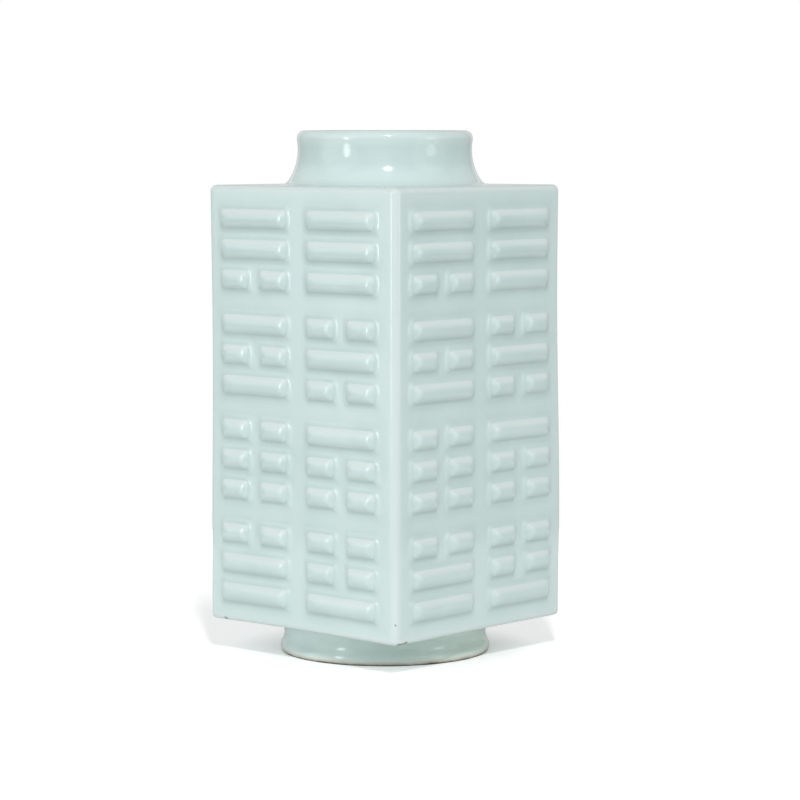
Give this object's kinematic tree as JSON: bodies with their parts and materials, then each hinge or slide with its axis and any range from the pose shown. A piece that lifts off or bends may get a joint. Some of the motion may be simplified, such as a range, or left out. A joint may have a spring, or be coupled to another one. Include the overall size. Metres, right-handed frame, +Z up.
{
  "type": "cong vase",
  "caption": "Square porcelain vase with a round neck and round foot ring, under pale celadon glaze, its walls carrying trigrams as arched bars in relief.",
  "frame": {"origin": "centre of the foot ring's underside, on the surface that the vase stands on", "axes": "+Z up through the neck; the walls are square to X and Y, with the front wall at -Y"},
  "size_m": [0.1412, 0.1412, 0.28],
  "materials": {
    "celadon_wall": "pale blue-green celadon glaze, glossy",
    "celadon_relief": "pale celadon glaze, thinner on the crowns, glossy",
    "celadon_neck": "pale celadon glaze, nearly white on the lip, glossy",
    "celadon_foot": "celadon glaze down to an unglazed, brown-burnt standing edge",
    "celadon_base": "celadon glaze, glossy, with no mark in the foot",
    "inner_glaze": "thin celadon glaze over smoothed clay"
  },
  "bodies": {
    "root": {"shoulder_slab": "celadon_wall", "front_wall": "celadon_wall", "right_wall": "celadon_wall", "back_wall": "celadon_wall", "left_wall": "celadon_wall", "neck": "celadon_neck", "foot_ring": "celadon_foot", "base_slab": "celadon_base", "shoulder_coil": "inner_glaze", "base_coil": "inner_glaze", "front_right_coil": "inner_glaze", "back_right_coil": "inner_glaze", "back_left_coil": "inner_glaze", "front_left_coil": "inner_glaze", "front_trigram_xun": "celadon_relief", "front_trigram_qian": "celadon_relief", "front_trigram_li": "celadon_relief", "front_trigram_kan": "celadon_relief", "front_trigram_kun": "celadon_relief", "front_trigram_gen": "celadon_relief", "front_trigram_dui": "celadon_relief", "front_trigram_zhen": "celadon_relief", "right_trigram_xun": "celadon_relief", "right_trigram_qian": "celadon_relief", "right_trigram_li": "celadon_relief", "right_trigram_kan": "celadon_relief", "right_trigram_kun": "celadon_relief", "right_trigram_gen": "celadon_relief", "right_trigram_dui": "celadon_relief", "right_trigram_zhen": "celadon_relief", "back_trigram_xun": "celadon_relief", "back_trigram_qian": "celadon_relief", "back_trigram_li": "celadon_relief", "back_trigram_kan": "celadon_relief", "back_trigram_kun": "celadon_relief", "back_trigram_gen": "celadon_relief", "back_trigram_dui": "celadon_relief", "back_trigram_zhen": "celadon_relief", "left_trigram_xun": "celadon_relief", "left_trigram_qian": "celadon_relief", "left_trigram_li": "celadon_relief", "left_trigram_kan": "celadon_relief", "left_trigram_kun": "celadon_relief", "left_trigram_gen": "celadon_relief", "left_trigram_dui": "celadon_relief", "left_trigram_zhen": "celadon_relief"}
  },
  "joints": []
}
